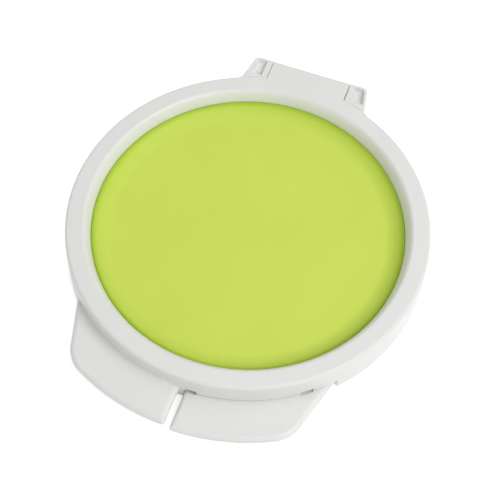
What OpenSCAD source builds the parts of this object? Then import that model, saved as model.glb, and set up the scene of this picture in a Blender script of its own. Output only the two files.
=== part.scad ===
// Round clamshell wet palette: a shallow round tray with a damp sponge and a sheet of
// palette paper, closed by a hinged ring lid that carries a soft recessed panel.
// Origin on the ring's axis, on the plane that the feet rest on. +Y is the hinge side,
// -Y is the side of the two thumb tabs. All sizes are in millimetres.

/* [Overall] */
// Outer diameter of the lid's ring at its top
ring_d = 150; // [140:1:170]
// Height of the closed palette, from the table to the top of the ring
total_h = 17; // [16.6:0.1:20]
// Facets on the round outlines that are rounded by offset and hull
smooth_fn = 72; // [48:8:80]

/* [Lid ring] */
// Width of the ring's flat top, from the opening to the outer edge
rim_w = 8.2; // [8:0.1:10]
// Thickness of the ring's flat top
plate_t = 2.2; // [1.8:0.1:2.4]
// Thickness of the skirt that hangs from the ring's outer edge
skirt_t = 2; // [1.6:0.1:2.2]
// How much the skirt flares from its top to its lower edge
skirt_draft = 0.4; // [0:0.1:0.6]
// Height of the skirt's lower edge above the table
skirt_z = 1; // [0.8:0.1:2]
// Rounding of the ring's outer top edge
ring_edge_r = 1.4; // [0.8:0.1:1.6]
// Rounding of the opening's top edge
opening_edge_r = 1.4; // [0.8:0.1:1.6]
// How much the opening's wall narrows from its top to the panel
opening_draft = 1.9; // [0.8:0.1:2.1]
// Where the skirt's sloping rear cut starts, in front of the hinge
rear_cut_y = 18; // [12:1:24]

/* [Lid panel] */
// Depth of the panel's edge below the top of the ring
panel_depth = 5; // [4.8:0.1:5.8]
// Thickness of the soft panel
panel_t = 0.8; // [0.7:0.1:1]
// How far the middle of the panel lies below its edge
panel_dish = 2; // [1:0.1:2.1]
// Width of the flat margin that is clamped under the ring
panel_margin = 3.4; // [3.2:0.1:5]
// Width of the hollow curve between the margin and the flat middle
panel_band = 7.6; // [6:0.2:9]
// Width of the ring that holds the panel from below
retainer_w = 3.4; // [2.6:0.1:3.5]
// Height of the ring that holds the panel from below
retainer_h = 0.9; // [0.7:0.1:1.1]

/* [Base tray] */
// Clearance between the lid's skirt and the tray's wall
skirt_clear = 0.6; // [0.5:0.05:0.8]
// Thickness of the tray's wall
wall_t = 2; // [1.6:0.1:2.2]
// Thickness of the tray's floor
floor_t = 1.4; // [1.2:0.1:1.5]
// Gap between the tray's wall and the underside of the lid's ring
rim_gap = 1.8; // [1.6:0.1:2.2]
// Rounding of the tray's lower outer edge
tray_edge_r = 1.4; // [0.8:0.1:1.5]

/* [Contents] */
// Thickness of the damp sponge
sponge_t = 2.4; // [2:0.1:2.4]
// Thickness of the palette paper
paper_t = 0.2; // [0.1:0.05:0.3]
// Gap round the sponge inside the tray's wall
sponge_gap = 0.9; // [0.6:0.1:1.5]

/* [Feet] */
// Diameter of a rubber foot
foot_d = 10; // [8:0.5:12]
// Height of a foot below the tray
foot_drop = 0.6; // [0.5:0.1:0.7]
// Depth of the pocket that holds a foot
foot_pocket = 0.4; // [0.3:0.1:0.6]
// Distance of the feet from the middle, sideways
foot_x = 36; // [30:1:38]
// Distance of the feet from the middle, front and back
foot_y = 52; // [46:1:54]

/* [Thumb tabs] */
// Reach of the tabs from the ring's outer edge
tab_reach = 16.3; // [15:0.1:18]
// Half of the width over both tabs, where they meet the ring
tab_half_w = 54; // [48:0.5:56]
// How far each side of the tabs leans inwards, per millimetre of reach
tab_taper = 0.29; // [0.2:0.01:0.36]
// Rounding of the tabs' outer corners
tab_corner_r = 14.5; // [10:0.5:15]
// Gap between the lid's tab and the tray's tab
tab_gap = 2; // [1.4:0.1:3]
// Thickness of each tab
tab_t = 3; // [2.8:0.1:3.2]
// Rounding of the tabs' top edges
tab_edge_r = 2; // [1:0.1:2.1]
// Height of the top of the lid's tab
lid_tab_z = 8.5; // [8.3:0.1:9]
// Height of the top of the tray's tab
base_tab_z = 5.8; // [5.6:0.1:6]
// Gap between the tray's tab and the skirt above it
tab_parting = 0.6; // [0.5:0.1:0.8]
// Length of the two latch slots on the parting line
slot_w = 4.8; // [4:0.2:7]
// Height of the latch slots above the parting line
slot_h = 1.4; // [0.6:0.1:1.6]
// Depth of the latch slots into the tray's tab
slot_sink = 1.4; // [0.8:0.1:1.6]
// Distance of the right-hand slot from the side of the tray's tab
slot_end = 4; // [2:0.2:6]

/* [Snap] */
// Half of the angle that the snap beads cover at the front
bead_half_angle = 36; // [20:1:40]
// Height of each bead out of its wall
bead_h = 0.2; // [0.15:0.01:0.22]
// Width of each bead
bead_w = 1; // [0.8:0.1:1.2]

/* [Hinge] */
// Distance of the hinge's axis behind the ring's outer edge
hinge_back = 4.4; // [4.2:0.1:6]
// Distance of the hinge's axis below the ring's top
hinge_drop = 2.9; // [2.8:0.1:3.2]
// Distance of the tongue's back edge behind the axis
tongue_back = 3.2; // [2.8:0.1:3.4]
// How much farther back than the tongue the ears reach
ear_step = 0.1; // [0:0.1:1]
// Diameter of the steel pin
pin_d = 2.2; // [2:0.1:2.4]
// Half of the width of the lid's tongue
tongue_half_w = 17.6; // [15:0.1:18]
// Gap between the tongue and each ear
tongue_gap = 0.5; // [0.4:0.05:0.8]
// Width of each ear where it meets the ring
ear_w = 10; // [9.4:0.1:10.5]
// How much narrower each ear is at its back edge
ear_taper = 2.2; // [0:0.1:2.4]
// Rounding of the ears' outer corners
ear_corner_r = 2.4; // [1.5:0.1:2.6]
// Thickness of the ear's inner wall, which holds the pin
ear_wall = 2.6; // [2.4:0.1:2.8]
// Thickness of the ear's outer wall and back wall
ear_thin_wall = 1.4; // [1.2:0.1:1.6]
// Depth of the pocket in each ear
ear_pocket_depth = 2.6; // [1.5:0.1:4]
// How far the pin reaches into each ear
pin_reach = 1.8; // [1.4:0.1:2]
// Running clearance of the pin in the tongue, on the radius
pin_run = 0.07; // [0.05:0.01:0.1]
// Clearance of the pin in the ears, on the radius
pin_hold = 0.02; // [0.01:0.01:0.03]
// Clearance between the ring's rear edge and the ears, over the whole swing
swing_clear = 0.2; // [0.15:0.05:0.4]

/* [Hidden] */
$fn = 180;
eps = 0.01;
slice_t = 0.1;
far = 200;

white = "#e4e4e0";
lime = "#c8da60";
sponge_yellow = "#e9d68a";
paper_cream = "#f3efe2";
rubber_grey = "#5b5d5e";
gasket_grey = "#c9ccc8";

ring_r = ring_d / 2;
opening_r = ring_r - rim_w;
skirt_in_r = ring_r - skirt_t;
plate_z = total_h - plate_t;
wall_h = plate_z - rim_gap;
half_y = ring_r / 2;
wall_out_r = skirt_in_r - skirt_clear;
wall_in_r = wall_out_r - wall_t;
floor_z = foot_drop;

panel_lap = 0.9;
panel_fit = 0.2;
collar_t = 1.3;
panel_z = total_h - panel_depth;
panel_r = opening_r + panel_lap;
wall_narrow_r = opening_r - opening_draft;
collar_in_r = panel_r + panel_fit;
collar_out_r = collar_in_r + collar_t;
retainer_z = panel_z - panel_t - retainer_h;
collar_z = retainer_z - panel_fit;

foot_spots = [[-foot_x, -foot_y], [foot_x, -foot_y], [-foot_x, foot_y], [foot_x, foot_y], [0, 0]];
foot_fit = 0.1;
sponge_z = floor_z + floor_t;
sponge_r = wall_in_r - sponge_gap;
paper_r = sponge_r - 0.3;

gasket_rise = 0.1;
gasket_lap = 0.2;
gasket_in_r = wall_in_r - gasket_lap;
gasket_out_r = wall_out_r + gasket_lap;
gasket_edge_r = 0.5;

tab_r = ring_r + tab_reach;
tab_low_r = 0.6;
base_tab_root_r = wall_out_r - 1;
lid_tab_root_r = skirt_in_r + 0.6;
parting_x = tab_gap / 2 - 0.3;
parting_end_x = tab_half_w + 1.5;
parting_z = base_tab_z + tab_parting;
slot_xs = [tab_gap / 2 + 0.3, tab_half_w - slot_end - slot_w];
bead_z = 9;
bead_root = 0.3;

hinge_y = ring_r + hinge_back;
hinge_z = total_h - hinge_drop;
hinge_root_y = wall_in_r - 10;
tongue_root_y = ring_r - 5;
tongue_y = hinge_y + tongue_back;
tongue_edge_r = 0.8;
knuckle_r = min(hinge_drop, tongue_back) - 0.1;
back_y = tongue_y + ear_step;
ear_root_y = ring_r - 4;
ear_in_x = tongue_half_w + tongue_gap;
ear_out_x = ear_in_x + ear_w;
ear_low_z = 4;
pocket_y = hinge_y - 6;
boss_r = 2.1;
boss_clear = 0.2;
pin_half_l = ear_in_x + pin_reach;
drum_out_x = ear_out_x + 1.2;
edge_ease = 0.2;
ear_trim_z = plate_z - 0.6;
gasket_gap_r = gasket_out_r + 0.7;
bridge_z = hinge_z - 5.5;
rear_cut_run = skirt_in_r - 3 - rear_cut_y;
rear_cut_rise = wall_h - 1.5 - skirt_z;

// ---- shared shapes ----

// Ring-shaped solid from r_in to r_out and from z0 to z1
module tube(r_in, r_out, z0, z1) {
    translate([0, 0, z0])
        difference() {
            cylinder(r = r_out, h = z1 - z0);
            translate([0, 0, -1])
                cylinder(r = r_in, h = z1 - z0 + 2);
        }
}

// 2-D square corner of side r with its inner quarter round taken off, for rounding an edge
module corner_waste(r) {
    difference() {
        square(r + eps);
        circle(r);
    }
}

// Pie slice, drawn out to a large radius, half_angle to each side of the front
module front_sector(half_angle) {
    reach = far / cos(half_angle);
    polygon([
        [0, 0],
        [-reach * sin(half_angle), -reach * cos(half_angle)],
        [reach * sin(half_angle), -reach * cos(half_angle)]
    ]);
}

// Bead with a triangular section round the front, standing out from radius r by h
module front_bead(r, h, z) {
    intersection() {
        rotate_extrude()
            polygon([[r - sign(h) * bead_root, z - bead_w / 2], [r, z - bead_w / 2], [r + h, z],
                     [r, z + bead_w / 2], [r - sign(h) * bead_root, z + bead_w / 2]]);
        translate([0, 0, z - bead_w])
            linear_extrude(2 * bead_w)
                front_sector(bead_half_angle);
    }
}

// Axis along X through the hinge
module on_hinge_axis() {
    translate([0, hinge_y, hinge_z])
        rotate([0, 90, 0])
            children();
}

// ---- thumb tabs ----

// Outline of one tab, to the right of the middle, still running in under the ring
module tab_outline() {
    side_y = -sqrt(ring_r * ring_r - tab_half_w * tab_half_w);
    lean = tab_taper * (side_y + tab_r);
    intersection() {
        offset(r = tab_corner_r)
            offset(delta = -tab_corner_r)
                intersection() {
                    circle(r = tab_r, $fn = 2 * smooth_fn);
                    polygon([[-tab_half_w, 0], [tab_half_w - tab_taper * side_y, 0],
                             [tab_half_w - lean, -tab_r], [-tab_half_w, -tab_r]]);
                }
        translate([tab_gap / 2, -far])
            square([far, far - half_y]);
    }
}

// One tab as a plate with its top edges rounded by tab_edge_r and its lower edges eased
module tab_plate(top_z) {
    steps = 5;
    hull() {
        for (i = [0 : steps]) {
            a = 90 * i / steps;
            translate([0, 0, top_z - tab_edge_r * (1 - sin(a)) - slice_t])
                linear_extrude(slice_t)
                    offset(delta = -tab_edge_r * (1 - cos(a)))
                        tab_outline($fn = smooth_fn);
        }
        translate([0, 0, top_z - tab_t + tab_low_r])
            linear_extrude(slice_t)
                tab_outline($fn = smooth_fn);
        translate([0, 0, top_z - tab_t])
            linear_extrude(slice_t)
                offset(delta = -tab_low_r)
                    tab_outline($fn = smooth_fn);
    }
}

// The plate cut away inside radius r, so that it can join a round wall
module tab(top_z, r) {
    difference() {
        tab_plate(top_z);
        translate([0, 0, -1])
            cylinder(r = r, h = total_h + 2);
    }
}

// ---- base ----

// Section of the tray: a flat floor and an upright wall
module tray_section() {
    difference() {
        union() {
            translate([0, floor_z])
                square([wall_out_r, floor_t]);
            translate([wall_in_r, floor_z])
                square([wall_t, wall_h - floor_z]);
        }
        translate([wall_out_r - tray_edge_r, floor_z + tray_edge_r])
            mirror([0, 1])
                corner_waste(tray_edge_r);
    }
}

// Outline of one ear's outer part, drawn in by inset all round and rounded at its corners
module ear_outline(inset, corner_r) {
    slope = ear_taper / (back_y - ear_root_y);
    root_x = ear_out_x + slope * (ear_root_y - hinge_root_y);
    offset(r = corner_r, $fn = 48)
        offset(delta = -corner_r - inset)
            polygon([[0, hinge_root_y], [root_x, hinge_root_y],
                     [ear_out_x - ear_taper, back_y], [0, back_y]]);
}

// Block for one ear, from the tray's wall to the ear's back edge
module ear_block() {
    translate([0, 0, ear_low_z])
        linear_extrude(total_h - ear_low_z)
            difference() {
                ear_outline(0, ear_corner_r);
                translate([-1, 0])
                    square([ear_in_x + 1, far]);
                circle(r = wall_out_r - 1);
            }
}

// Pocket in one ear, open at the top and rounded in its corners
module ear_pocket() {
    pocket_x = ear_in_x + ear_wall;
    translate([0, 0, total_h - ear_pocket_depth])
        linear_extrude(ear_pocket_depth + 1)
            intersection() {
                ear_outline(ear_thin_wall, ear_corner_r - 1);
                translate([pocket_x, pocket_y])
                    square(far);
            }
}

// Distance from the hinge's axis to the ring's top rear edge, at x to the side of the middle
function edge_reach(x) = norm([hinge_y - sqrt(pow(ring_r - edge_ease, 2) - x * x), hinge_drop]);

// Drum round the hinge's axis whose rim follows the ring's top rear edge, less clear. The ring
// is hollowed by it and the ears are trimmed to it, so they stay the same small gap apart at
// every angle of the lid.
module hinge_drum(clear, side) {
    steps = 16;
    width = drum_out_x - tongue_half_w;
    on_hinge_axis()
        mirror([0, 0, side])
            rotate_extrude()
                polygon(concat(
                    [[0, drum_out_x], [0, tongue_half_w]],
                    [for (i = [0 : steps]) let (x = tongue_half_w + width * i / steps)
                        [edge_reach(x) - clear, x]]
                ));
}

// What the drum trims off the front of the ears, above the tray's wall
module ear_trim() {
    difference() {
        translate([-drum_out_x, half_y, ear_trim_z])
            cube([2 * drum_out_x, far, far]);
        for (side = [0, 1])
            hinge_drum(swing_clear, side);
    }
}

// Flat boss round the pin on each ear's inner face, which keeps the tongue in the middle
module pin_bosses() {
    on_hinge_axis()
        for (side = [0, 1])
            mirror([0, 0, side])
                translate([0, 0, tongue_half_w + boss_clear])
                    cylinder(r = boss_r, h = tongue_gap - boss_clear + eps);
}

// Both ears, with the pockets, the pin's holes and the room for the swinging ring
module ears() {
    difference() {
        union() {
            for (side = [0, 1])
                mirror([side, 0, 0])
                    difference() {
                        ear_block();
                        ear_pocket();
                    }
            pin_bosses();
        }
        ear_trim();
        translate([0, 0, wall_h])
            cylinder(r = gasket_gap_r, h = total_h);
        on_hinge_axis()
            cylinder(r = pin_d / 2 + pin_hold, h = 2 * pin_half_l, center = true);
    }
}

// Low bridge between the ears, under the lid's tongue
module hinge_bridge() {
    difference() {
        translate([-ear_in_x - 1, hinge_root_y, ear_low_z])
            cube([2 * ear_in_x + 2, hinge_y - hinge_root_y, bridge_z - ear_low_z]);
        cylinder(r = wall_out_r - 1, h = total_h);
    }
}

// Latch slots sunk into the root of the tray's tab, below the slots in the skirt
module tab_slots() {
    intersection() {
        tube(wall_out_r - 0.3, ring_r + skirt_draft, base_tab_z - slot_sink, parting_z);
        for (x = slot_xs)
            translate([x, -far, 0])
                cube([slot_w, far, total_h]);
    }
}

module base_tray() {
    color(white)
        difference() {
            union() {
                rotate_extrude()
                    tray_section();
                front_bead(wall_out_r, bead_h, bead_z + bead_w);
                tab(base_tab_z, base_tab_root_r);
                ears();
                hinge_bridge();
            }
            tab_slots();
            for (spot = foot_spots)
                translate([spot.x, spot.y, -1])
                    cylinder(r = foot_d / 2 + foot_fit, h = 1 + floor_z + foot_pocket);
        }
}

module sponge() {
    color(sponge_yellow)
        translate([0, 0, sponge_z])
            cylinder(r = sponge_r, h = sponge_t);
}

module palette_paper() {
    color(paper_cream)
        translate([0, 0, sponge_z + sponge_t])
            cylinder(r = paper_r, h = paper_t);
}

module hinge_pin() {
    color("silver")
        on_hinge_axis()
            cylinder(r = pin_d / 2, h = 2 * pin_half_l, center = true);
}

module foot(spot) {
    color(rubber_grey)
        translate([spot.x, spot.y, 0])
            cylinder(r = foot_d / 2, h = floor_z + foot_pocket);
}

module foot_front_left() {
    foot(foot_spots[0]);
}

module foot_front_right() {
    foot(foot_spots[1]);
}

module foot_rear_left() {
    foot(foot_spots[2]);
}

module foot_rear_right() {
    foot(foot_spots[3]);
}

module foot_centre() {
    foot(foot_spots[4]);
}

// ---- lid ----

// Section of the ring: flat top, sloping wall down to the panel, collar and skirt
module ring_section() {
    difference() {
        union() {
            translate([opening_r, plate_z])
                square([ring_r - opening_r, plate_t]);
            polygon([[skirt_in_r, total_h - 1], [ring_r, total_h - 1],
                     [ring_r, plate_z - 0.5], [ring_r + skirt_draft, skirt_z],
                     [skirt_in_r + skirt_draft, skirt_z], [skirt_in_r, plate_z - 0.5]]);
            polygon([[opening_r, total_h], [opening_r, total_h - opening_edge_r], [wall_narrow_r, panel_z],
                     [collar_in_r, panel_z], [collar_in_r, collar_z], [collar_out_r, collar_z],
                     [collar_out_r, total_h]]);
        }
        translate([ring_r - ring_edge_r, total_h - ring_edge_r])
            corner_waste(ring_edge_r);
        translate([opening_r + opening_edge_r, total_h - opening_edge_r])
            mirror([1, 0])
                corner_waste(opening_edge_r);
    }
}

// Next to the hinge the ring's outer top edge isn't rounded: this fills it up to the corner
module square_edge() {
    intersection() {
        tube(ring_r - 2, ring_r, plate_z, total_h);
        translate([-drum_out_x, half_y, 0])
            cube([2 * drum_out_x, ring_r, far]);
    }
}

// Everything that is taken off the skirt: the sloping rear cut, the room for the ears and
// the cut-out for the tray's tab with a slot at each end of its parting line
module skirt_cuts() {
    rear_slope = atan2(rear_cut_rise, rear_cut_run);
    difference() {
        union() {
            translate([0, rear_cut_y, skirt_z])
                rotate([rear_slope, 0, 0])
                    translate([-far / 2, 0, -far])
                        cube([far, far, far]);
            translate([-drum_out_x, half_y, -1])
                cube([2 * drum_out_x, ring_r, plate_z + 1]);
            translate([parting_x, -far, -1])
                cube([parting_end_x - parting_x, far - half_y, parting_z + 1]);
            for (x = slot_xs)
                translate([x, -far, 0])
                    cube([slot_w, far - half_y, parting_z + slot_h]);
        }
        translate([0, 0, -far])
            cylinder(r = skirt_in_r - 0.5, h = 2 * far);
    }
}

// Tongue of the hinge: the ring's flat top carried back to the knuckle round the pin
module tongue() {
    translate([tongue_half_w, 0, 0])
        rotate([90, 0, -90])
            linear_extrude(2 * tongue_half_w)
                mirror([1, 0])
                    difference() {
                        union() {
                            translate([tongue_root_y, plate_z])
                                square([tongue_y - tongue_root_y, plate_t]);
                            translate([hinge_y, hinge_z])
                                square([tongue_back, hinge_drop - 1]);
                            translate([hinge_y, hinge_z])
                                circle(r = knuckle_r);
                        }
                        translate([tongue_y - tongue_edge_r, total_h - tongue_edge_r])
                            corner_waste(tongue_edge_r);
                    }
}

module lid_ring() {
    color(white)
        difference() {
            union() {
                difference() {
                    union() {
                        rotate_extrude()
                            ring_section();
                        square_edge();
                    }
                    skirt_cuts();
                    for (side = [0, 1])
                        hinge_drum(0, side);
                }
                tongue();
                mirror([1, 0, 0])
                    tab(lid_tab_z, lid_tab_root_r);
                front_bead(skirt_in_r + 0.1, -bead_h - 0.1, bead_z - bead_w / 2);
            }
            on_hinge_axis()
                cylinder(r = pin_d / 2 + pin_run, h = 3 * tongue_half_w, center = true);
        }
}

module lid_panel() {
    steps = 6;
    low = panel_z - panel_dish;
    band_r = panel_r - panel_margin - panel_band;
    end_a = 2 * atan(panel_dish / panel_band);
    curve_r = panel_band / sin(end_a);
    curve = [for (i = [0 : steps]) let (a = end_a * i / steps)
        [band_r + curve_r * sin(a), low + curve_r * (1 - cos(a))]];
    color(lime)
        rotate_extrude()
            polygon(concat(
                [[0, low - panel_t], [0, low]], curve, [[panel_r, panel_z], [panel_r, panel_z - panel_t]],
                [for (i = [steps : -1 : 0]) curve[i] - [0, panel_t]]
            ));
}

module panel_retainer() {
    color(white)
        tube(collar_in_r - retainer_w, collar_in_r, retainer_z, retainer_z + retainer_h);
}

module rim_gasket() {
    low = wall_h + gasket_rise;
    color(gasket_grey)
        rotate_extrude()
            difference() {
                translate([gasket_in_r, low])
                    square([gasket_out_r - gasket_in_r, plate_z - low]);
                translate([gasket_out_r - gasket_edge_r, low + gasket_edge_r])
                    mirror([0, 1])
                        corner_waste(gasket_edge_r);
                translate([gasket_in_r + gasket_edge_r, low + gasket_edge_r])
                    rotate(180)
                        corner_waste(gasket_edge_r);
            }
}

base_tray();
sponge();
palette_paper();
hinge_pin();
foot_front_left();
foot_front_right();
foot_rear_left();
foot_rear_right();
foot_centre();
lid_ring();
lid_panel();
panel_retainer();
rim_gasket();
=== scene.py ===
"""Looks of the round wet palette: finely modelled mouldings, sponge and paper over the CAD frame.

Lengths of the part and the camera are millimetres, as in part.scad, and MM turns them into
metres. The lamps, the floor and the materials have metres.
Three small forms of part.scad aren't modelled here: the 0.2 mm snap beads and, where other
pieces hide them, the feet's pockets and the holes for the pin.
"""

import math

import bmesh
import bpy
from mathutils import Matrix, Vector, noise


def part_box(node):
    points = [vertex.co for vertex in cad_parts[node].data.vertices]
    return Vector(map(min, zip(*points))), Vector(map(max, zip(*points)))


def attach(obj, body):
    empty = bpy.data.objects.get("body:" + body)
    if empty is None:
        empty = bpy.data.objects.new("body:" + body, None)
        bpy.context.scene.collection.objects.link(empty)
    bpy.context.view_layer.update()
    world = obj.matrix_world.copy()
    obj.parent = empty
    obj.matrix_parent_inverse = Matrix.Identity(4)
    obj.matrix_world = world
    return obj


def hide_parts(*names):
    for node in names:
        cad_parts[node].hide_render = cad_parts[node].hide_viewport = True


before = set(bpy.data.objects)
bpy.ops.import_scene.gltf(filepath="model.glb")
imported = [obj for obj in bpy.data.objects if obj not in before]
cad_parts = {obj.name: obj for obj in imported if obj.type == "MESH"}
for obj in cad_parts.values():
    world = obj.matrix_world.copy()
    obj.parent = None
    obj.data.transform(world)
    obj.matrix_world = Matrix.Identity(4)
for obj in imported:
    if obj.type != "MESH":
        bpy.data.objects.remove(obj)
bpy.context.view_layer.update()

MM = 0.001
TAU = 2 * math.pi
# Edges sharper than this many degrees are shaded as edges
SHARP = 38
# Metres within which a mesh's points are taken for one
MERGE = 1e-7
# Radius of the tiny hole in the middle of a turned disc
CENTRE_R = 0.01

# ---- driving dimensions, with the values that part.scad gives them ----
RING_R = 75.0
TOTAL_H = 17.0
OPENING_R = 66.8
PLATE_T = 2.2
SKIRT_T = 2.0
SKIRT_DRAFT = 0.4
SKIRT_Z = 1.0
RING_EDGE_R = 1.4
OPENING_EDGE_R = 1.4
OPENING_DRAFT = 1.9
REAR_CUT_Y = 18.0
REAR_SLOPE = 10.5 / 52

PANEL_DEPTH = 5.0
PANEL_T = 0.8
PANEL_LAP = 0.9
PANEL_FIT = 0.2
PANEL_MARGIN = 3.4
PANEL_BAND = 7.6
RETAINER_W = 3.4
RETAINER_H = 0.9
COLLAR_T = 1.3
GASKET_RISE = 0.1
GASKET_LAP = 0.2
GASKET_EDGE_R = 0.5

SKIRT_CLEAR = 0.6
WALL_T = 2.0
FLOOR_T = 1.4
WALL_H = 13.0
TRAY_EDGE_R = 1.4
FOOT_D = 10.0
FOOT_DROP = 0.6
FOOT_POCKET = 0.4
SPONGE_T = 2.4
PAPER_T = 0.2
SPONGE_GAP = 0.9

TAB_REACH = 16.3
TAB_HALF_W = 54.0
TAB_TAPER = 0.29
TAB_CORNER_R = 14.5
TAB_GAP = 2.0
TAB_T = 3.0
TAB_EDGE_R = 2.0
TAB_LOW_R = 0.6
LID_TAB_Z = 8.5
BASE_TAB_Z = 5.8
TAB_PARTING = 0.6
SLOT_H = 1.4

HINGE_Y = 79.4
HINGE_DROP = 2.9
TONGUE_BACK = 3.2
TONGUE_EDGE_R = 0.8
EAR_STEP = 0.1
EAR_TAPER = 2.2
EAR_CORNER_R = 2.4
EAR_WALL = 2.6
EAR_THIN_WALL = 1.4
EAR_POCKET_DEPTH = 2.6
EDGE_EASE = 0.2
BOSS_R = 2.1
BOSS_CLEAR = 0.2
EAR_LOW_Z = 4.0

# ---- driving dimensions that were fitted to the photograph and differ from part.scad ----
PANEL_DISH = 3.4
SLOT_W = 4.2
SLOT_SINK = 0.8
SLOT_START = 0.8
SLOT_END = 6.0
TONGUE_HALF_W = 17.75
TONGUE_GAP = 0.2
EAR_W = 10.15
SWING_CLEAR = 0.12

# ---- forms and colours that only this script has ----
# Rounded edge of the panel, below which the opening's wall ends
PANEL_LIP = 0.35
# The bend of the opening's wall: how it leaves the ring's top and how it reaches the panel
WALL_ROUND = 2.2
WALL_LEAN = 1.4
WALL_FALL = 4.8
# Painted shade on the lime plastic near the panel's rim: the radius from which it darkens, its
# colour at the rim and its share on the way
RIM_SHADE_FROM_R = 57.5
PAINTED_RIM_SHADE = (140, 176, 14)
RIM_SHADE_SHARES = ((0.0, 0.0), (0.66, 0.22), (0.8, 0.4), (1.0, 1.0))
# Fillet between a tab's top and the wall that it grows from
TAB_FILLET_R = 0.7

# ---- derived dimensions ----
SKIRT_IN_R = RING_R - SKIRT_T
PLATE_Z = TOTAL_H - PLATE_T
WALL_OUT_R = SKIRT_IN_R - SKIRT_CLEAR
WALL_IN_R = WALL_OUT_R - WALL_T
PANEL_Z = TOTAL_H - PANEL_DEPTH
PANEL_R = OPENING_R + PANEL_LAP
COLLAR_IN_R = PANEL_R + PANEL_FIT
COLLAR_OUT_R = COLLAR_IN_R + COLLAR_T
RETAINER_Z = PANEL_Z - PANEL_T - RETAINER_H
COLLAR_Z = RETAINER_Z - PANEL_FIT
WALL_NARROW_R = OPENING_R - OPENING_DRAFT
SPONGE_Z = FOOT_DROP + FLOOR_T
SPONGE_R = WALL_IN_R - SPONGE_GAP
PAPER_R = SPONGE_R - 0.3
GASKET_IN_R = WALL_IN_R - GASKET_LAP
GASKET_OUT_R = WALL_OUT_R + GASKET_LAP
GASKET_Z = WALL_H + GASKET_RISE
GASKET_GAP_R = GASKET_OUT_R + 0.7
TAB_R = RING_R + TAB_REACH
BASE_TAB_ROOT_R = WALL_OUT_R - 1
LID_TAB_ROOT_R = SKIRT_IN_R + 0.6
# The skirt's outer face at the height of the lid's tab
LID_TAB_WALL_R = RING_R + 0.17
PARTING_Z = BASE_TAB_Z + TAB_PARTING
PARTING_X = TAB_GAP / 2 - 0.3
PARTING_END_X = TAB_HALF_W + 1.5
SLOT_XS = (TAB_GAP / 2 + SLOT_START, TAB_HALF_W - SLOT_END - SLOT_W)
HINGE_Z = TOTAL_H - HINGE_DROP
TONGUE_Y = HINGE_Y + TONGUE_BACK
BACK_Y = TONGUE_Y + EAR_STEP
KNUCKLE_R = min(HINGE_DROP, TONGUE_BACK) - 0.1
EAR_IN_X = TONGUE_HALF_W + TONGUE_GAP
EAR_OUT_X = EAR_IN_X + EAR_W
EAR_ROOT_Y = RING_R - 4
EAR_SLOPE = EAR_TAPER / (BACK_Y - EAR_ROOT_Y)
EAR_TRIM_Z = PLATE_Z - 0.6
POCKET_Y = HINGE_Y - 6
DRUM_OUT_X = EAR_OUT_X + 1.2
BRIDGE_Z = HINGE_Z - 5.5

# ---- camera: the view of the photograph ----
CAMERA_AZIMUTH = 18.27
CAMERA_ELEVATION = 59.67
CAMERA_ROLL = 1.95
CAMERA_DISTANCE = 499.5
CAMERA_AIM = (2.28, -3.50)
CAMERA_FOCUS_PX = 1187.5
IMAGE_PX = 500

# ---- light and floor, with lengths in metres ----
# Azimuth and elevation in degrees, size in metres and power in watts
LAMPS = {
    "key": (-16, 54, 1.0, 12.8),
    "back": (75, 65, 1.1, 2.8),
    "front": (-105, 25, 1.2, 1.2),
}
LAMP_DISTANCE = 1.6
# The sky's strength is SKY_LOW in directions whose z is below SKY_LOW_Z, and SKY_HIGH in those
# whose z is above SKY_HIGH_Z
SKY_LOW_Z = 0.3
SKY_HIGH_Z = 0.9
SKY_LOW = 0.66
SKY_HIGH = 0.32
# The floor's glow, for the rays that show a background, and half of its side
FLOOR_GLOW = 0.6
FLOOR_HALF = 3.0


# ---- mesh helpers ----


def smoothstep(x):
    """0 below 0, 1 above 1 and a smooth step between."""
    x = min(max(x, 0.0), 1.0)
    return x * x * (3 - 2 * x)


def arc(cx, cy, r, start, end, steps):
    """Points of an arc about (cx, cy), from start to end degrees."""
    angles = [math.radians(start + (end - start) * i / steps) for i in range(steps + 1)]
    return [(cx + r * math.cos(a), cy + r * math.sin(a)) for a in angles]


def spread(a, b, steps):
    """Points on the straight line from a to b, without a itself."""
    return [tuple(p + (q - p) * i / steps for p, q in zip(a, b)) for i in range(1, steps + 1)]


def bend(a, leave, b, arrive, steps):
    """Points of a smooth bend from a to b, without a, that starts as leave and ends as arrive."""
    points = []
    for i in range(1, steps + 1):
        t = i / steps
        k = smoothstep(t)
        points.append(tuple((p + u * t) * (1 - k) + (q - v * (1 - t)) * k
                            for p, u, q, v in zip(a, leave, b, arrive)))
    return points


def closed_mesh(name, points, faces):
    """A mesh of points in millimetres, with its faces turned outwards."""
    mesh = bpy.data.meshes.new(name)
    mesh.from_pydata([Vector(p) * MM for p in points], [], faces)
    shape = bmesh.new()
    shape.from_mesh(mesh)
    bmesh.ops.remove_doubles(shape, verts=shape.verts, dist=MERGE)
    bmesh.ops.dissolve_degenerate(shape, edges=shape.edges, dist=MERGE)
    bmesh.ops.recalc_face_normals(shape, faces=shape.faces)
    shape.to_mesh(mesh)
    shape.free()
    return mesh


def linked(name, data):
    """A new object in the scene, of a mesh, a lamp or a camera."""
    piece = bpy.data.objects.new(name, data)
    bpy.context.collection.objects.link(piece)
    return piece


def make_piece(name, points, faces, material, body, sharp=SHARP):
    """A piece of points in millimetres, smooth apart from edges sharper than sharp degrees."""
    mesh = closed_mesh(name, points, faces)
    piece = linked(name, mesh)
    mesh.polygons.foreach_set("use_smooth", [True] * len(mesh.polygons))
    mesh.set_sharp_from_angle(angle=math.radians(sharp))
    weighted = piece.modifiers.new("weighted_normals", "WEIGHTED_NORMAL")
    weighted.keep_sharp = True
    mesh.materials.append(material)
    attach(piece, body)
    return piece


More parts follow.
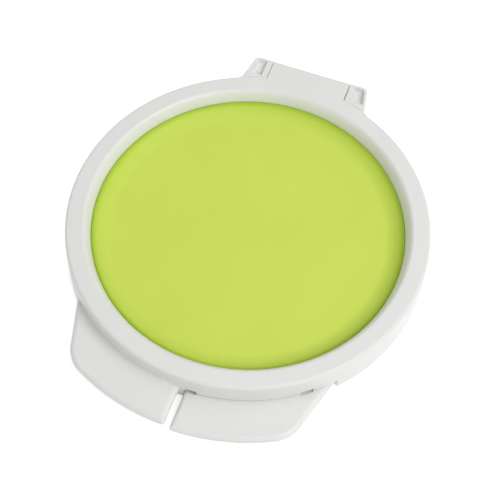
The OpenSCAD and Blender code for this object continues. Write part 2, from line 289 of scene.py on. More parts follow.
def skin(rows, close_rows=False, close_points=False, caps=False):
    """Points and faces of a surface through rows that all have the same number of points."""
    count = len(rows[0])
    points = [p for row in rows for p in row]
    faces = []
    last_row = len(rows) if close_rows else len(rows) - 1
    last_point = count if close_points else count - 1
    for i in range(last_row):
        for j in range(last_point):
            a = i * count + j
            b = i * count + (j + 1) % count
            c = (i + 1) % len(rows) * count + (j + 1) % count
            d = (i + 1) % len(rows) * count + j
            faces.append((a, b, c, d))
    if caps:
        faces.append(tuple(range(count)))
        faces.append(tuple(range((len(rows) - 1) * count, len(rows) * count)))
    return points, faces


def revolve(section, steps=540):
    """A closed (radius, height) section turned round the ring's axis."""
    rows = []
    for i in range(steps):
        a = TAU * i / steps
        rows.append([(r * math.cos(a), r * math.sin(a), z) for r, z in section])
    return skin(rows, close_rows=True, close_points=True)


def along_x(section, x0, x1, edge):
    """A closed (y, z) section drawn out along X, with its two ends rounded by edge."""
    middle = [sum(p[k] for p in section) / len(section) for k in (0, 1)]

    def row(x, inset):
        out = []
        for y, z in section:
            away = math.hypot(y - middle[0], z - middle[1])
            keep = max(away - inset, 0) / away if away else 1
            out.append((x, middle[0] + (y - middle[0]) * keep, middle[1] + (z - middle[1]) * keep))
        return out

    rounds = [(edge * (1 - math.cos(a)), edge * (1 - math.sin(a)))
              for a in (math.radians(15 * i) for i in range(7))]
    rows = [row(x0 + along, inset) for along, inset in rounds]
    rows += [row(x1 - along, inset) for along, inset in reversed(rounds)]
    return skin(rows, close_points=True, caps=True)


# ---- lid ring ----


def edge_reach(x):
    """Distance from the hinge's axis to the ring's top rear edge, x to the side."""
    edge_r = RING_R - EDGE_EASE
    return math.hypot(HINGE_Y - math.sqrt(edge_r * edge_r - x * x), HINGE_DROP)


def skirt_low(x, y):
    """Height of the skirt's lower edge under the point (x, y) of the ring.

    It rises towards the back, and over the tray's tab it ends at the parting line and its slots.
    """
    if y < 0 and PARTING_X < x < PARTING_END_X:
        slotted = any(0 < x - slot_x < SLOT_W for slot_x in SLOT_XS)
        return PARTING_Z + SLOT_H if slotted else PARTING_Z
    return SKIRT_Z + max(y - REAR_CUT_Y, 0) * REAR_SLOPE


def ring_columns():
    """Angles of the ring's columns, close together beside each step of its outline."""
    front = [PARTING_X, PARTING_END_X] + [x + end for x in SLOT_XS for end in (0, SLOT_W)]
    near = [0.03, 0.12, 0.3, 0.6]
    angles = [TAU * i / 720 for i in range(720)]
    for x in front:
        for step in [-d for d in near] + near:
            angles.append(-math.acos((x + step) / RING_R) % TAU)
    tongue = [TONGUE_HALF_W + d for d in (-0.4, -0.3, -0.2, -0.1, -0.03, 0, 0.0001, 0.2)]
    drum = [DRUM_OUT_X - 0.03, DRUM_OUT_X + 0.03]
    for x in tongue + drum:
        for side in (-1, 1):
            angles.append(math.acos(side * x / RING_R))
    return sorted(angles)


def tongue_points(x, ring_y):
    """The tongue at x: out along its underside, up its back and over its top to ring_y."""
    lap = 1.5
    back_r = TONGUE_EDGE_R
    side_ease = 0.4
    over = abs(x) - (TONGUE_HALF_W - side_ease)
    top = TOTAL_H
    if over > 0:
        top -= side_ease - math.sqrt(max(side_ease**2 - over**2, 0))
    root = (ring_y - lap, PLATE_Z)
    line = [root] + spread(root, (TONGUE_Y, PLATE_Z), 7)
    line += spread((TONGUE_Y, PLATE_Z), (TONGUE_Y, top - back_r), 5)
    line += arc(TONGUE_Y - back_r, top - back_r, back_r, 0, 90, 7)[1:]
    line += spread((TONGUE_Y - back_r, top), (ring_y, top), 6)
    return [(x, y, z) for y, z in line]


def drum_points(x):
    """The plate's edge in front of an ear at x, hollowed about the hinge's axis."""
    reach = edge_reach(x)
    heights = [PLATE_Z + (TOTAL_H - PLATE_Z) * i / 24 for i in range(25)]
    return [(x, HINGE_Y - math.sqrt(reach**2 - (z - HINGE_Z) ** 2), z) for z in heights]


def skirt_points(low):
    """(radius, height) points down inside the skirt, round its edge at low and up to the top."""
    flare_z = PLATE_Z - 0.5
    ease = 0.45

    def flare(z):
        return SKIRT_DRAFT * max(flare_z - z, 0) / (flare_z - SKIRT_Z)

    points = [(SKIRT_IN_R, PLATE_Z)]
    points += [(SKIRT_IN_R + flare(z), z) for _, z in spread((0, PLATE_Z), (0, low + ease), 6)]
    points += arc(SKIRT_IN_R + flare(low) + ease, low + ease, ease, 180, 270, 4)[1:]
    points += arc(RING_R + flare(low) - ease, low + ease, ease, 270, 360, 4)
    rise = spread((0, low + ease), (0, TOTAL_H - RING_EDGE_R), 5)
    points += [(RING_R + flare(z), z) for _, z in rise]
    points += arc(RING_R - RING_EDGE_R, TOTAL_H - RING_EDGE_R, RING_EDGE_R, 0, 90, 6)[1:]
    return points


def outer_points(angle):
    """The column's points from the plate's underside, round its outer edge, to the ring's top.

    The three kinds of column have the same number of points, so that they join.
    """
    x = RING_R * math.cos(angle)
    y = RING_R * math.sin(angle)
    direction = Vector((math.cos(angle), math.sin(angle)))

    def radial(r, z):
        return (direction.x * r, direction.y * r, z)

    top = radial(RING_R - RING_EDGE_R, TOTAL_H)
    if y > 0 and abs(x) <= TONGUE_HALF_W:
        return tongue_points(x, y) + [top]
    if y > 0 and abs(x) < DRUM_OUT_X:
        return [radial(SKIRT_IN_R - 1, PLATE_Z)] + drum_points(x) + [top]
    return [radial(r, z) for r, z in skirt_points(skirt_low(x, y))]


def ring_inner_section():
    """(radius, height) points from the ring's top, down its opening and round the collar."""
    ease = 0.3
    wall_end = (WALL_NARROW_R, PANEL_Z - PANEL_LIP)
    section = spread((RING_R - RING_EDGE_R, TOTAL_H), (OPENING_R + OPENING_EDGE_R, TOTAL_H), 3)
    section += bend(section[-1], (-WALL_ROUND, 0), wall_end, (-WALL_LEAN, -WALL_FALL), 16)
    section += [
        (COLLAR_IN_R, PANEL_Z - PANEL_LIP),
        (COLLAR_IN_R, COLLAR_Z + ease),
        (COLLAR_IN_R + ease, COLLAR_Z),
        (COLLAR_OUT_R - ease, COLLAR_Z),
        (COLLAR_OUT_R, COLLAR_Z + ease),
        (COLLAR_OUT_R, PLATE_Z),
    ]
    return section


def lid_shell(material):
    """The ring with its skirt and tongue as one moulding."""
    section = ring_inner_section()
    rows = []
    for angle in ring_columns():
        inner = [(r * math.cos(angle), r * math.sin(angle), z) for r, z in section]
        rows.append(outer_points(angle) + inner)
    points, faces = skin(rows, close_rows=True, close_points=True)
    return make_piece("lid_shell", points, faces, material, "lid")


def knuckle(material):
    """The round knuckle under the tongue, which turns on the pin."""
    top = PLATE_Z + 0.3
    back_y = TONGUE_Y - 0.05
    half_w = TONGUE_HALF_W - 0.02
    section = [(back_y, top), (back_y, HINGE_Z)]
    section += arc(HINGE_Y, HINGE_Z, KNUCKLE_R, 0, -180, 24)
    section += [(HINGE_Y - KNUCKLE_R, top)]
    points, faces = along_x(section, -half_w, half_w, 0.3)
    return make_piece("lid_knuckle", points, faces, material, "lid")


# ---- thumb tabs ----


def tab_path(inset, root_r):
    """Outline of the right-hand tab, from its root at the gap, round its end, to its other root."""
    side_y = -math.sqrt(RING_R**2 - TAB_HALF_W**2)
    lean = math.atan(TAB_TAPER)
    side_normal = Vector((math.cos(lean), -math.sin(lean)))
    side_point = Vector((TAB_HALF_W, side_y)) - side_normal * inset
    gap_x = TAB_GAP / 2 + inset
    end_r = TAB_R - inset
    gap_corner_r = 0.9
    small_r = max(gap_corner_r - inset, 0.05)
    big_r = TAB_CORNER_R - inset

    # Corner at the gap: a small circle inside the end's arc
    small_x = gap_x + small_r
    small_y = -math.sqrt((end_r - small_r) ** 2 - small_x**2)
    small_end = math.degrees(math.atan2(small_y, small_x))
    # Corner at the side: a big circle that touches the end's arc and the side line
    offset = side_normal.dot(side_point) - big_r
    reach = end_r - big_r
    along = math.sqrt(reach**2 - offset**2)
    side_dir = Vector((-side_normal.y, side_normal.x))
    big = side_normal * offset - side_dir * along
    big_start = math.degrees(math.atan2(big.y, big.x))
    # Where the side line meets the root's circle
    distance = side_normal.dot(side_point)
    root_side = side_normal * distance - side_dir * math.sqrt(root_r**2 - distance**2)

    path = [(gap_x, -math.sqrt(root_r**2 - gap_x**2))]
    path += spread(path[0], (gap_x, small_y), 14)
    path += arc(small_x, small_y, small_r, 180, small_end + 360, 8)[1:]
    path += arc(0, 0, end_r, small_end, big_start, 44)[1:]
    path += arc(big.x, big.y, big_r, big_start, -math.degrees(lean), 26)[1:]
    path += spread(path[-1], tuple(root_side), 16)
    return path


def root_arc(path, root_r):
    """Points on the root's circle that go with the path's points."""
    first = math.atan2(path[0][1], path[0][0])
    last = math.atan2(path[-1][1], path[-1][0])
    steps = len(path) - 1
    angles = [first + (last - first) * i / steps for i in range(len(path))]
    return [(root_r * math.cos(a), root_r * math.sin(a)) for a in angles]


def prism(outline, low, high):
    """Points and faces of a flat outline drawn out from low to high."""
    rows = [[(x, y, z) for x, y in outline] for z in (low, high)]
    return skin(rows, close_points=True, caps=True)


def carve(piece, points, faces):
    """Cut the given closed form out of a closed piece."""
    cutter = linked("cutter", closed_mesh("cutter", points, faces))
    cut = piece.modifiers.new("cut", "BOOLEAN")
    cut.operation = "DIFFERENCE"
    cut.solver = "EXACT"
    cut.object = cutter
    weighted = piece.modifiers.find("weighted_normals")
    piece.modifiers.move(len(piece.modifiers) - 1, weighted)
    with bpy.context.temp_override(object=piece, active_object=piece, selected_objects=[piece]):
        bpy.ops.object.modifier_apply(modifier="cut")
    piece.data.set_sharp_from_angle(angle=math.radians(SHARP))
    bpy.data.objects.remove(cutter)


def tab_side(top_z):
    """(inset, height) pairs down a tab's end, from its upper edge to its lower one."""
    low_z = top_z - TAB_T
    pairs = []
    for i in range(9):
        a = math.radians(90 * i / 8)
        pairs.append((TAB_EDGE_R * (1 - math.sin(a)), top_z - TAB_EDGE_R * (1 - math.cos(a))))
    for i in range(1, 5):
        pairs.append((0, top_z - TAB_EDGE_R - (TAB_T - TAB_EDGE_R - TAB_LOW_R) * i / 4))
    for i in range(1, 5):
        a = math.radians(90 * i / 4)
        pairs.append((TAB_LOW_R * (1 - math.cos(a)), low_z + TAB_LOW_R * (1 - math.sin(a))))
    return pairs


def tab_root(top_z):
    """(inset, height) pairs up a tab's root, from its lower edge to its upper one."""
    low_z = top_z - TAB_T
    pairs = [(TAB_LOW_R, low_z)]
    for i in range(1, 5):
        a = math.radians(22.5 * i)
        pairs.append((TAB_LOW_R * (1 - math.sin(a)), low_z + TAB_LOW_R * (1 - math.cos(a))))
    for i in range(7):
        a = math.radians(15 * i)
        pairs.append((TAB_EDGE_R * (1 - math.cos(a)), top_z - TAB_EDGE_R * (1 - math.sin(a))))
    return pairs


def tab(name, top_z, root_r, wall_r, side, material, body):
    """A thumb tab with rounded edges and a small fillet up the wall that it grows from."""
    across = 12
    shares = [(i / across) ** 1.5 for i in range(1, across + 1)]

    def lift(x, y):
        gap = min(max(math.hypot(x, y) - wall_r, 0), TAB_FILLET_R)
        return TAB_FILLET_R - math.sqrt(TAB_FILLET_R**2 - (TAB_FILLET_R - gap) ** 2)

    def row(inset, z, share, filleted=False):
        """The outline at z, drawn towards the root by share."""
        path = tab_path(inset, root_r)
        points = []
        for (px, py), (rx, ry) in zip(path, root_arc(path, root_r)):
            x = px + (rx - px) * share
            y = py + (ry - py) * share
            points.append((side * x, y, z + (lift(x, y) if filleted else 0)))
        return points

    rows = [row(TAB_EDGE_R, top_z, share, filleted=True) for share in reversed(shares)]
    rows += [row(inset, z, 0) for inset, z in tab_side(top_z)]
    rows += [row(TAB_LOW_R, top_z - TAB_T, share) for share in shares]
    rows += [row(inset, z, 1) for inset, z in tab_root(top_z)]
    points, faces = skin(rows, close_rows=True)
    return make_piece(name, points, faces, material, body)


def tray_tab(material):
    """The tray's thumb tab, with the two latch slots sunk into its root."""
    piece = tab("tray_thumb_tab", BASE_TAB_Z, BASE_TAB_ROOT_R, WALL_OUT_R, 1, material, "base")
    outer_r = RING_R + SKIRT_DRAFT
    inner_r = WALL_OUT_R - 0.3
    for slot_x in SLOT_XS:
        xs = [slot_x + SLOT_W * i / 8 for i in range(9)]
        outline = [(x, -math.sqrt(outer_r**2 - x * x)) for x in xs]
        outline += [(x, -math.sqrt(inner_r**2 - x * x)) for x in reversed(xs)]
        carve(piece, *prism(outline, BASE_TAB_Z - SLOT_SINK, PARTING_Z + 0.5))
    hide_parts("base_tray")


# ---- lid panel and what holds it ----


def lid_panel(material):
    """The soft recessed panel, with a hollow curve round its flat middle."""
    band_out = PANEL_R - PANEL_MARGIN
    band_in = band_out - PANEL_BAND
    low = PANEL_Z - PANEL_DISH
    end_angle = 2 * math.atan(PANEL_DISH / PANEL_BAND)
    curve_r = PANEL_BAND / math.sin(end_angle)
    curve = arc(band_in, low + curve_r, curve_r, 270, 270 + math.degrees(end_angle), 24)
    middle = [(max(band_in * i / 12, CENTRE_R), low) for i in range(12)]
    lip = PANEL_LIP
    gap = 0.02
    edge = WALL_NARROW_R - gap
    groove = [(edge - lip, PANEL_Z)] + arc(edge - lip, PANEL_Z - lip, lip, 80, 0, 6)
    groove += [(WALL_NARROW_R, PANEL_Z - lip - gap), (PANEL_R, PANEL_Z - lip - gap)]
    under = [(PANEL_R, PANEL_Z - PANEL_T)]
    under += [(r, z - PANEL_T) for r, z in reversed(middle + curve)]
    points, faces = revolve(middle + curve + groove + under)
    piece = make_piece("soft_panel", points, faces, material, "lid")
    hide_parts("lid_panel")


def retainer(material):
    """The thin ring that holds the panel from below."""
    inner = COLLAR_IN_R - RETAINER_W
    low, high = RETAINER_Z, RETAINER_Z + RETAINER_H
    ease = 0.25
    section = arc(inner + ease, low + ease, ease, 270, 180, 4)
    section += arc(inner + ease, high - ease, ease, 180, 90, 4)
    section += [(COLLAR_IN_R, high), (COLLAR_IN_R, low)]
    points, faces = revolve(section, 360)
    piece = make_piece("panel_retainer_ring", points, faces, material, "lid")
    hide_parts("panel_retainer")


def gasket(material):
    """The soft ring in the lid's channel, over the tray's wall."""
    ease = GASKET_EDGE_R
    section = [(GASKET_IN_R, PLATE_Z), (GASKET_IN_R, GASKET_Z + ease)]
    section += arc(GASKET_IN_R + ease, GASKET_Z + ease, ease, 180, 270, 5)[1:]
    section += arc(GASKET_OUT_R - ease, GASKET_Z + ease, ease, 270, 360, 5)
    section += [(GASKET_OUT_R, PLATE_Z)]
    points, faces = revolve(section, 360)
    piece = make_piece("rim_gasket_ring", points, faces, material, "lid")
    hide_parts("rim_gasket")


# ---- base ----


def tray_shell(material):
    """The tray's floor and wall."""
    rim = 0.5
    low = FOOT_DROP
    floor = SPONGE_Z
    section = [(CENTRE_R, low)]
    section += spread((CENTRE_R, low), (WALL_OUT_R - TRAY_EDGE_R, low), 6)
    section += arc(WALL_OUT_R - TRAY_EDGE_R, low + TRAY_EDGE_R, TRAY_EDGE_R, 270, 360, 8)[1:]
    section += spread(section[-1], (WALL_OUT_R, WALL_H - rim), 4)
    section += arc(WALL_OUT_R - rim, WALL_H - rim, rim, 0, 90, 5)[1:]
    section += arc(WALL_IN_R + rim, WALL_H - rim, rim, 90, 180, 5)
    section += spread(section[-1], (WALL_IN_R, floor), 4)
    section += spread((WALL_IN_R, floor), (CENTRE_R, floor), 6)
    points, faces = revolve(section)
    piece = make_piece("tray_shell", points, faces, material, "base")
    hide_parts("base_tray")


def ear_side_x(y, inset):
    """x of the ear's slanting outer side at y."""
    return EAR_OUT_X - EAR_SLOPE * (y - EAR_ROOT_Y) - inset * math.hypot(1, EAR_SLOPE)


def ear_loop(inner_x, inset, corner_r, front):
    """The ear's outline from its inner front corner, round the back and home along its front.

    front(x) gives the y of the front edge at x.
    """
    lean = math.degrees(math.atan(EAR_SLOPE))
    back_y = BACK_Y - inset
    corner_y = back_y - corner_r
    corner_x = ear_side_x(corner_y, inset) - corner_r * math.hypot(1, EAR_SLOPE)
    path = [(inner_x, front(inner_x))]
    path += spread(path[0], (inner_x, back_y - 0.01), 10)
    path += spread(path[-1], (corner_x, back_y), 8)
    path += arc(corner_x, corner_y, corner_r, 90, lean, 10)[1:]
    front_x = ear_side_x(front(EAR_OUT_X), inset)
    path += spread(path[-1], (front_x, front(front_x)), 10)
    back_home = [front_x + (inner_x - front_x) * i / 12 for i in range(1, 12)]
    path += [(x, front(x)) for x in back_home]
    return path


def round_front(r):
    """The front edge of an ear that ends on the circle of radius r."""
    return lambda x: math.sqrt(r * r - x * x)


def drum_front(z):
    """The front edge of an ear at height z, hollowed to clear the swinging ring."""
    def front(x):
        x = min(max(x, TONGUE_HALF_W), DRUM_OUT_X)
        reach = edge_reach(x) - SWING_CLEAR
        return HINGE_Y - math.sqrt(reach**2 - (z - HINGE_Z) ** 2)
    return front


def ear_rows():
    """(outline, height) pairs up an ear, from its underside to the edge of its top."""
    edge = 0.55
    trim_z = EAR_TRIM_Z
    at_wall = round_front(WALL_OUT_R - 1)
    past_gasket = round_front(GASKET_GAP_R)

    def row(inset, z, front):
        return ear_loop(EAR_IN_X + inset, inset, EAR_CORNER_R - inset, front), z

    rows = []
    for i in range(5):
        a = math.radians(90 * i / 4)
        rows.append(row(edge * (1 - math.sin(a)), EAR_LOW_Z + edge * (1 - math.cos(a)), at_wall))
    rows += [row(0, WALL_H, at_wall), row(0, WALL_H, past_gasket), row(0, trim_z, past_gasket)]
    for i in range(5):
        z = trim_z + (TOTAL_H - edge - trim_z) * i / 4
        rows.append(row(0, z, drum_front(z)))
    for i in range(1, 7):
        a = math.radians(90 * i / 6)
        z = TOTAL_H - edge + edge * math.sin(a)
        rows.append(row(edge * (1 - math.cos(a)), z, drum_front(z)))
    return rows


def ear_pocket_rows():
    """(outline, height) pairs down an ear's pocket, from its rounded lip to its scooped floor."""
    floor_z = TOTAL_H - EAR_POCKET_DEPTH
    pocket_r = EAR_CORNER_R - 1
    lip = 0.4
    scoop = 1.9

    def row(inset, corner_r, z):
        inner_x = EAR_IN_X + EAR_WALL + inset
        outline = ear_loop(inner_x, EAR_THIN_WALL + inset, corner_r, lambda x: POCKET_Y + inset)
        return outline, z

    rows = []
    for i in range(6):
        a = math.radians(90 * i / 5)
        out = lip * (1 - math.sin(a))
        rows.append(row(-out, pocket_r + out, TOTAL_H - lip * (1 - math.cos(a))))
    for i in range(7):
        a = math.radians(90 * i / 6)
        inset = scoop * (1 - math.cos(a))
        rows.append(row(inset, max(pocket_r - inset, 0.15), floor_z + scoop * (1 - math.sin(a))))
    return rows


def ear(name, side, material):
    """One hinge ear with its open pocket, on the tray."""
    rows = []
    for outline, z in ear_rows() + ear_pocket_rows():
        rows.append([(side * x, y, z) for x, y in outline])
    points, faces = skin(rows, close_points=True, caps=True)
    piece = make_piece(name, points, faces, material, "base")
    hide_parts("base_tray")


def bridge(material):
    """The low bridge between the ears, under the tongue."""
    front_y = WALL_OUT_R - 4
    low, high, back = EAR_LOW_Z, BRIDGE_Z, HINGE_Y
    ease = 0.8
    lap = 0.5
    section = [(front_y, low), (front_y, high)]
    section += arc(back - ease, high - ease, ease, 90, 0, 6)
    section += arc(back - ease, low + ease, ease, 0, -90, 6)
    points, faces = along_x(section, -EAR_IN_X - lap, EAR_IN_X + lap, 0.1)
    piece = make_piece("hinge_bridge", points, faces, material, "base")
    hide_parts("base_tray")


def pin_boss(name, side, material):
    """The flat boss round the pin on an ear's inner face."""
    lap = 0.2
    section = arc(HINGE_Y, HINGE_Z, BOSS_R, 0, 360, 48)[:-1]
    x0, x1 = sorted((side * (TONGUE_HALF_W + BOSS_CLEAR), side * (EAR_IN_X + lap)))
    points, faces = along_x(section, x0, x1, 0.08)
    piece = make_piece(name, points, faces, material, "base")
    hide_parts("base_tray")


def foot(node, material):
    """A turned rubber foot with eased edges and a shallow dimple under it."""
    low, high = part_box(node)
    centre = (low + high) / 2 / MM
    radius = FOOT_D / 2
    height = FOOT_DROP + FOOT_POCKET
    ease = 0.25
    dimple = 0.12
    section = [(CENTRE_R, dimple), (radius - 2.2, dimple), (radius - 1.9, 0.0)]
    section += [(radius - ease, 0.0)] + arc(radius - ease, ease, ease, 270, 360, 5)[1:]
    section += [(radius, height), (CENTRE_R, height)]
    points, faces = revolve(section, 72)
    points = [(x + centre.x, y + centre.y, z) for x, y, z in points]
    piece = make_piece(node + "_pad", points, faces, material, "base")
    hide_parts(node)


# ---- sponge and paper ----


def sponge(material):
    """The damp sponge: a disc with a soft edge, sunk a little and unevenly."""
    edge_r = 0.9
    low, high = SPONGE_Z, SPONGE_Z + SPONGE_T
    radii = [CENTRE_R] + [SPONGE_R * i / 90 for i in range(1, 90)]
    flat = [r for r in radii if r < SPONGE_R - edge_r]
    section = [(r, low) for r in flat]
    section += arc(SPONGE_R - edge_r, low + edge_r, edge_r, 270, 360, 6)
    section += arc(SPONGE_R - edge_r, high - edge_r, edge_r, 0, 90, 6)
    section += [(r, high) for r in reversed(flat)]
    points, faces = revolve(section, 360)
    uneven = []
    for x, y, z in points:
        fine = noise.noise(Vector((x, y, z)) * 1.1)
        coarse = noise.noise(Vector((x, y, z)) * 0.25)
        dip = 0.12 * (fine + coarse) - 0.16
        side = smoothstep((math.hypot(x, y) - SPONGE_R + 2) / 2)
        scale = 1 + side * dip * 2 / SPONGE_R
        top = z > low + SPONGE_T / 2
        uneven.append((x * scale, y * scale, z + dip if top else z))
    piece = make_piece("sponge_disc", uneven, faces, material, "base", sharp=180)
    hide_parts("sponge")


def palette_paper(material):
    """The sheet of palette paper, lying on the sponge with a faint cockle."""
    high = SPONGE_Z + SPONGE_T + PAPER_T
    sink = 0.02
    rings = 60
    steps = 240
    rows = []
    for i in range(rings + 1):
        r = max(PAPER_R * i / rings, CENTRE_R)
        row = []
        for j in range(steps):
            a = TAU * j / steps
            x, y = r * math.cos(a), r * math.sin(a)
            cockle = 0.04 * noise.noise(Vector((x, y, 3.0)) * 0.06) - 0.03
            row.append((x, y, high - sink + cockle))
        rows.append(row)
    under = [[(x, y, z - PAPER_T / 2) for x, y, z in row] for row in reversed(rows)]
    points, faces = skin(rows + under, close_points=True)
    piece = make_piece("palette_sheet", points, faces, material, "base")
    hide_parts("palette_paper")


# ---- materials ----


def linear(value):
    """sRGB 0-255 to linear."""
    c = value / 255
    return c / 12.92 if c <= 0.04045 else ((c + 0.055) / 1.055) ** 2.4


def colour(r, g, b):
    """sRGB 0-255 to a linear colour of four values."""
    return (linear(r), linear(g), linear(b), 1.0)


class Shader:
    """A new material's node tree, with short calls for what the materials below share."""

    def __init__(self, name):
        self.material = bpy.data.materials.new(name)
        self.material.use_nodes = True
        self.nodes = self.material.node_tree.nodes
        self.links = self.material.node_tree.links
        self.bsdf = self.nodes["Principled BSDF"]
        self.place = self.nodes.new("ShaderNodeTexCoord").outputs["Object"]

    def link(self, a, b):
        self.links.new(a, b)

    def noise(self, scale, detail=4.0, roughness=0.55):
        """Cloudy noise from 0 to 1, of the given scale to a metre."""
        node = self.nodes.new("ShaderNodeTexNoise")
        node.inputs["Scale"].default_value = scale
        node.inputs["Detail"].default_value = detail
        node.inputs["Roughness"].default_value = roughness
        self.link(self.place, node.inputs["Vector"])
        return node.outputs["Fac"]

    def cells(self, scale):
        """Distance from the middle of the nearest cell."""
        node = self.nodes.new("ShaderNodeTexVoronoi")
        node.inputs["Scale"].default_value = scale
        self.link(self.place, node.inputs["Vector"])
        return node.outputs["Distance"]

    def vector_math(self, operation, *values):
        """A vector node whose inputs are sockets or plain vectors."""
        node = self.nodes.new("ShaderNodeVectorMath")
        node.operation = operation
        for socket, value in zip(node.inputs, values):
            if isinstance(value, tuple):
                socket.default_value = value
            else:
                self.link(value, socket)
        return node

    def ramp(self, value, stops):
        """Colour from value, through (position, colour) stops."""
        node = self.nodes.new("ShaderNodeValToRGB")
        while len(node.color_ramp.elements) < len(stops):
            node.color_ramp.elements.new(0.5)
        for element, (position, rgba) in zip(node.color_ramp.elements, stops):
            element.position = position
            element.color = rgba
        self.link(value, node.inputs["Fac"])
        return node.outputs["Color"]

    def span(self, value, low, high, from_low=0.0, from_high=1.0):
        """Value, brought from its own range to the one from low to high."""
        node = self.nodes.new("ShaderNodeMapRange")
        node.inputs["From Min"].default_value = from_low
        node.inputs["From Max"].default_value = from_high
        node.inputs["To Min"].default_value = low
        node.inputs["To Max"].default_value = high
        self.link(value, node.inputs["Value"])
        return node.outputs["Result"]

    def bump(self, height, strength, distance, under=None):
        """Relief of the given height in metres, on top of the relief under it."""
        node = self.nodes.new("ShaderNodeBump")
        node.inputs["Strength"].default_value = strength
        node.inputs["Distance"].default_value = distance
        self.link(height, node.inputs["Height"])
        if under:
            self.link(under, node.inputs["Normal"])
        return node.outputs["Normal"]

    def plain(self, **values):
        """Plain values of the surface, by the input's name with _ for a space."""
        for name, value in values.items():
            self.bsdf.inputs[name.replace("_", " ")].default_value = value

    def wire(self, **sockets):
        """Sockets into the surface, by the input's name with _ for a space."""
        for name, socket in sockets.items():
            self.link(socket, self.bsdf.inputs[name.replace("_", " ")])


def cloudy(s, dark, light):
    """A faint cloudiness between two colours."""
    return s.ramp(s.noise(38.0, 3.0), [(0.3, dark), (0.7, light)])


def moulded_surface(s, roughness, specular):
    """The satin skin of moulded plastic: uneven gloss, a faint waviness and a fine grain."""
    s.wire(Roughness=s.span(s.noise(160.0, 5.0), *roughness))
    s.plain(Specular_IOR_Level=specular)
    wave = s.bump(s.noise(55.0, 2.0), 0.06, 0.0006)
    s.wire(Normal=s.bump(s.noise(5200.0, 2.0), 0.10, 0.00002, wave))


def white_plastic():
    s = Shader("white_moulded_plastic")
    s.wire(Base_Color=cloudy(s, colour(226, 226, 223), colour(228, 228, 226)))
    moulded_surface(s, (0.36, 0.44), 0.5)
    return s.material


def lime_plastic():
    """Soft lime plastic, with painted shade that darkens it towards the panel's rim, all round
    alike.
    """
    s = Shader("lime_soft_plastic")
    cloud = cloudy(s, colour(205, 223, 93), colour(208, 226, 97))
    # Painted shade: the colour darkens from the radius below towards the rim and stands in for the
    # shade of the ring's wall
    flat = s.vector_math("MULTIPLY", s.place, (1, 1, 0)).outputs["Vector"]
    radius = s.vector_math("LENGTH", flat).outputs["Value"]
    outer = s.span(radius, 0.0, 1.0, RIM_SHADE_FROM_R / 1000, WALL_NARROW_R / 1000)
    share = s.ramp(outer, [(place, (grey, grey, grey, 1)) for place, grey in RIM_SHADE_SHARES])
    rim_shaded = s.nodes.new("ShaderNodeMix")
    rim_shaded.data_type = "RGBA"
    s.link(share, rim_shaded.inputs["Factor"])
    s.link(cloud, rim_shaded.inputs["A"])
    rim_shaded.inputs["B"].default_value = colour(*PAINTED_RIM_SHADE)
    s.wire(Base_Color=rim_shaded.outputs["Result"])
    moulded_surface(s, (0.4, 0.46), 0.15)
    return s.material


def foam():
    """Open-cell sponge: pores as dark cell middles, in bump and in colour; the colour is painted
    shade, darker in the pores' hollows and lighter on their ridges.
    """
    s = Shader("cellulose_sponge")
    pores = s.cells(1500.0)
    big = s.cells(420.0)
    # Painted shade: the pores' hollows darker and the ridges between them lighter than the sponge
    # itself
    hollow, wall, ridge = colour(168, 142, 66), colour(232, 213, 140), colour(243, 229, 170)
    stops = [(0.05, hollow), (0.45, wall), (0.8, ridge)]
    s.wire(Base_Color=s.ramp(pores, stops))
    s.plain(Roughness=0.86)
    s.wire(Normal=s.bump(pores, 0.8, 0.0003, s.bump(big, 0.6, 0.0005)))
    return s.material


def grained(name, grain, stops, roughness, strength, distance):
    """A surface whose colour, gloss and relief all follow one noise."""
    s = Shader(name)
    value = s.noise(*grain)
    s.wire(Base_Color=s.ramp(value, stops))
    s.wire(Roughness=s.span(value, *roughness))
    s.wire(Normal=s.bump(value, strength, distance))
    return s


def paper():
    """Palette paper: fine fibres and a slight waxy gloss."""
    stops = [(0.35, colour(236, 230, 212)), (0.65, colour(246, 242, 229))]
    s = grained("palette_parchment", (900.0, 6.0, 0.7), stops, (0.45, 0.62), 0.25, 0.00006)
    return s.material


def rubber():
    stops = [(0.3, colour(84, 86, 87)), (0.7, colour(98, 100, 101))]
    return grained("grey_rubber", (2600.0, 4.0), stops, (0.62, 0.8), 0.3, 0.00005).material


def silicone():
    stops = [(0.3, colour(196, 200, 198)), (0.7, colour(208, 211, 209))]
    s = grained("silicone_gasket", (300.0, 3.0), stops, (0.35, 0.5), 0.1, 0.00005)
    s.plain(Subsurface_Weight=0.1, Subsurface_Radius=(0.001, 0.001, 0.001))
    return s.material


def steel():
    """Drawn steel with a fine, uneven grain."""
    stops = [(0.3, colour(176, 176, 178)), (0.7, colour(196, 196, 198))]
    s = grained("drawn_steel", (3000.0, 2.0), stops, (0.22, 0.36), 0.15, 0.00002)
    s.plain(Metallic=1.0)
    return s.material


# ---- stage ----


def floor():
    """A plain white floor that keeps the object's shadow."""
    mesh = bpy.data.meshes.new("floor")
    corners = [(-1, -1), (1, -1), (1, 1), (-1, 1)]
    mesh.from_pydata([(FLOOR_HALF * x, FLOOR_HALF * y, 0) for x, y in corners], [], [(0, 1, 2, 3)])
    plane = linked("floor", mesh)
    s = Shader("floor_white")
    s.plain(Base_Color=(0.86, 0.86, 0.86, 1), Roughness=0.9, Specular_IOR_Level=0.1)
    glow = s.span(seen_rays(s.nodes, s.links), 0.0, FLOOR_GLOW)
    s.plain(Emission_Color=(1, 1, 1, 1))
    s.wire(Emission_Strength=glow)
    plane.data.materials.append(s.material)


def lamp(name, azimuth, elevation, size, power):
    """A round soft lamp, aimed at the object."""
    light = bpy.data.lights.new(name, "AREA")
    light.shape = "DISK"
    light.size = size
    light.energy = power
    piece = linked(name, light)
    azimuth, elevation = math.radians(azimuth), math.radians(elevation)
    level = math.cos(elevation)
    direction = Vector((math.cos(azimuth) * level, math.sin(azimuth) * level, math.sin(elevation)))
    piece.location = LAMP_DISTANCE * direction
    piece.rotation_euler = direction.to_track_quat("Z", "Y").to_euler()


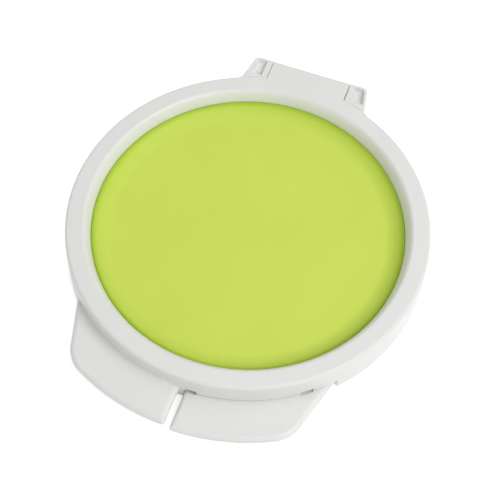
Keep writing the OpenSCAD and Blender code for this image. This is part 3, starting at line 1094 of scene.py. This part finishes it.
def seen_rays(nodes, links):
    """One for the rays that show a background: the camera's, glossy and transmission ones."""
    path = nodes.new("ShaderNodeLightPath")
    total = path.outputs["Is Camera Ray"]
    for name in ("Is Glossy Ray", "Is Transmission Ray"):
        both = nodes.new("ShaderNodeMath")
        both.operation = "MAXIMUM"
        links.new(total, both.inputs[0])
        links.new(path.outputs[name], both.inputs[1])
        total = both.outputs[0]
    return total


def studio():
    """White surroundings, whose light is stronger near the horizon, and three soft lamps."""
    world = bpy.data.worlds.new("studio")
    bpy.context.scene.world = world
    world.use_nodes = True
    nodes, links = world.node_tree.nodes, world.node_tree.links
    background = nodes["Background"]
    background.inputs["Color"].default_value = (1, 1, 1, 1)
    place = nodes.new("ShaderNodeTexCoord")
    parts = nodes.new("ShaderNodeSeparateXYZ")
    links.new(place.outputs["Generated"], parts.inputs["Vector"])
    height = nodes.new("ShaderNodeMapRange")
    height.inputs["From Min"].default_value = SKY_LOW_Z
    height.inputs["From Max"].default_value = SKY_HIGH_Z
    height.inputs["To Min"].default_value = SKY_LOW
    height.inputs["To Max"].default_value = SKY_HIGH
    links.new(parts.outputs["Z"], height.inputs["Value"])
    seen = nodes.new("ShaderNodeMix")
    links.new(seen_rays(nodes, links), seen.inputs["Factor"])
    links.new(height.outputs["Result"], seen.inputs["A"])
    seen.inputs["B"].default_value = 1.0
    links.new(seen.outputs["Result"], background.inputs["Strength"])
    for name, values in LAMPS.items():
        lamp(name, *values)


def camera():
    """The camera at the photograph's angle and distance."""
    azimuth, elevation = math.radians(CAMERA_AZIMUTH), math.radians(CAMERA_ELEVATION)
    roll = math.radians(CAMERA_ROLL)
    level = math.cos(elevation)
    back = Vector((math.sin(azimuth) * level, -math.cos(azimuth) * level, math.sin(elevation)))
    right = Vector((math.cos(azimuth), math.sin(azimuth), 0))
    up = back.cross(right)
    rolled_right = right * math.cos(roll) + up * math.sin(roll)
    rolled_up = up * math.cos(roll) - right * math.sin(roll)
    data = bpy.data.cameras.new("camera")
    data.sensor_width = 36
    data.lens = CAMERA_FOCUS_PX / IMAGE_PX * data.sensor_width
    data.clip_start = 0.01
    cam = linked("camera", data)
    pose = Matrix((rolled_right, rolled_up, back)).transposed().to_4x4()
    pose.translation = (Vector((*CAMERA_AIM, 0)) + back * CAMERA_DISTANCE) * MM
    cam.matrix_world = pose
    bpy.context.scene.camera = cam


# ---- build ----

white = white_plastic()
lime = lime_plastic()
grey_rubber = rubber()

shell = lid_shell(white)
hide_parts("lid_ring")
knuckle(white)
tab("lid_thumb_tab", LID_TAB_Z, LID_TAB_ROOT_R, LID_TAB_WALL_R, -1, white, "lid")
lid_panel(lime)
retainer(white)
gasket(silicone())

tray_shell(white)
tray_tab(white)
ear("ear_right", 1, white)
ear("ear_left", -1, white)
pin_boss("pin_boss_right", 1, white)
pin_boss("pin_boss_left", -1, white)
bridge(white)
sponge(foam())
palette_paper(paper())
for node in sorted(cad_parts):
    if node.startswith("foot_"):
        foot(node, grey_rubber)
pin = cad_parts["hinge_pin"]
pin.data.materials.clear()
pin.data.materials.append(steel())

floor()
studio()
camera()
scene = bpy.context.scene
scene.view_settings.view_transform = "Standard"
